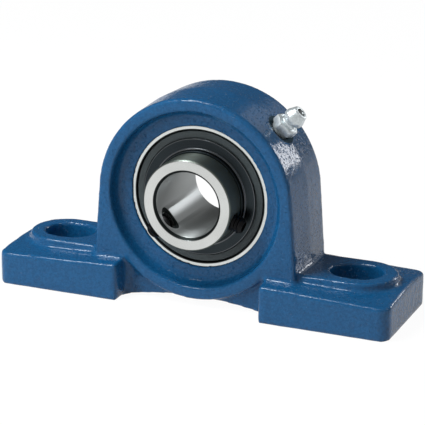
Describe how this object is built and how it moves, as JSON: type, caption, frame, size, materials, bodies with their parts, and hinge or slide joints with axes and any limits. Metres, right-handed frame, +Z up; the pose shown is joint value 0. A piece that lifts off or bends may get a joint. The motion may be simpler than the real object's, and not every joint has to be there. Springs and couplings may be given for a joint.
{
  "type": "pillow block bearing",
  "caption": "Cast pillow block with two slotted feet and a grease nipple, holding a self-aligning ball bearing insert with a long inner ring, collar and set screws for a round shaft.",
  "frame": {"origin": "centre of the base's bottom, midway between the two bolt slots and across the feet's width", "axes": "+X along the feet through both bolt slots, +Y along the shaft away from the collar side, +Z up"},
  "size_m": [0.127, 0.038, 0.065],
  "materials": {
    "painted_casting": "sand-cast iron under a thin blue enamel, satin with a fine cast grain",
    "ground_steel": "ground bearing steel, bright",
    "turned_steel": "ground and turned bearing steel, fine lines round the axis",
    "ball_steel": "polished bearing steel",
    "pressed_steel": "pressed sheet steel, satin",
    "seal_rubber": "moulded nitrile rubber, matt grey",
    "flinger_steel": "pressed sheet steel, oiled and dark",
    "black_screw_steel": "hardened steel with a black oxide coat",
    "zinc_plate": "bright zinc plate",
    "spring_steel": "drawn wire"
  },
  "bodies": {
    "block": {"housing": "painted_casting", "grease_nipple_body": "zinc_plate", "grease_nipple_spring": "spring_steel"},
    "outer": {"outer_ring": "ground_steel", "front_seal_core": "pressed_steel", "front_seal_rubber": "seal_rubber", "rear_seal_core": "pressed_steel", "rear_seal_rubber": "seal_rubber"},
    "inner": {"inner_ring": "turned_steel", "front_flinger": "flinger_steel", "rear_flinger": "flinger_steel"},
    "cage": {"cage_front": "pressed_steel", "cage_rear": "pressed_steel", "cage_rivets": "pressed_steel"},
    "screw_1": {"set_screw_1": "black_screw_steel"},
    "screw_2": {"set_screw_2": "black_screw_steel"},
    "nipple_valve": {"grease_nipple_ball": "ball_steel"},
    "ball_1": {"ball_1": "ball_steel"},
    "ball_2": {"ball_2": "ball_steel"},
    "ball_3": {"ball_3": "ball_steel"},
    "ball_4": {"ball_4": "ball_steel"},
    "ball_5": {"ball_5": "ball_steel"},
    "ball_6": {"ball_6": "ball_steel"},
    "ball_7": {"ball_7": "ball_steel"},
    "ball_8": {"ball_8": "ball_steel"}
  },
  "joints": [
    {"name": "insert_align", "type": "hinge", "parent": "block", "child": "outer", "pos_m": [0, 0, 0.0333], "axis": [1, 0, 0], "range_deg": [-2, 2]},
    {"name": "inner_spin", "type": "hinge", "parent": "outer", "child": "inner", "pos_m": [0, 0, 0.0333], "axis": [0, 1, 0], "continuous": true},
    {"name": "cage_spin", "type": "hinge", "parent": "outer", "child": "cage", "pos_m": [0, 0, 0.0333], "axis": [0, 1, 0], "continuous": true},
    {"name": "ball_1_spin", "type": "hinge", "parent": "cage", "child": "ball_1", "pos_m": [0.01675, 0, 0.0333], "axis": [0, 1, 0], "continuous": true},
    {"name": "ball_2_spin", "type": "hinge", "parent": "cage", "child": "ball_2", "pos_m": [0.01184, 0, 0.04514], "axis": [0, 1, 0], "continuous": true},
    {"name": "ball_3_spin", "type": "hinge", "parent": "cage", "child": "ball_3", "pos_m": [0, 0, 0.05005], "axis": [0, 1, 0], "continuous": true},
    {"name": "ball_4_spin", "type": "hinge", "parent": "cage", "child": "ball_4", "pos_m": [-0.01184, 0, 0.04514], "axis": [0, 1, 0], "continuous": true},
    {"name": "ball_5_spin", "type": "hinge", "parent": "cage", "child": "ball_5", "pos_m": [-0.01675, 0, 0.0333], "axis": [0, 1, 0], "continuous": true},
    {"name": "ball_6_spin", "type": "hinge", "parent": "cage", "child": "ball_6", "pos_m": [-0.01184, 0, 0.02146], "axis": [0, 1, 0], "continuous": true},
    {"name": "ball_7_spin", "type": "hinge", "parent": "cage", "child": "ball_7", "pos_m": [0, 0, 0.01655], "axis": [0, 1, 0], "continuous": true},
    {"name": "ball_8_spin", "type": "hinge", "parent": "cage", "child": "ball_8", "pos_m": [0.01184, 0, 0.02146], "axis": [0, 1, 0], "continuous": true},
    {"name": "set_screw_1_travel", "type": "slide", "parent": "inner", "child": "screw_1", "axis": [-0.7604, 0, -0.6494], "range_m": [-0.0014, 0.0012]},
    {"name": "set_screw_2_travel", "type": "slide", "parent": "inner", "child": "screw_2", "axis": [0.9426, 0, -0.3338], "range_m": [-0.0014, 0.0012]},
    {"name": "nipple_valve_travel", "type": "slide", "parent": "block", "child": "nipple_valve", "axis": [-0.7254, 0, -0.6884], "range_m": [0, 0.0008], "stiffness_N_per_m": 300, "springref_m": -0.0015, "deforming": ["grease_nipple_spring"]}
  ],
  "couplings": [
    {"joint": "cage_spin", "follows": "inner_spin", "ratio": 0.38152},
    {"joint": "ball_1_spin", "follows": "inner_spin", "ratio": -1.9916},
    {"joint": "ball_2_spin", "follows": "inner_spin", "ratio": -1.9916},
    {"joint": "ball_3_spin", "follows": "inner_spin", "ratio": -1.9916},
    {"joint": "ball_4_spin", "follows": "inner_spin", "ratio": -1.9916},
    {"joint": "ball_5_spin", "follows": "inner_spin", "ratio": -1.9916},
    {"joint": "ball_6_spin", "follows": "inner_spin", "ratio": -1.9916},
    {"joint": "ball_7_spin", "follows": "inner_spin", "ratio": -1.9916},
    {"joint": "ball_8_spin", "follows": "inner_spin", "ratio": -1.9916}
  ]
}
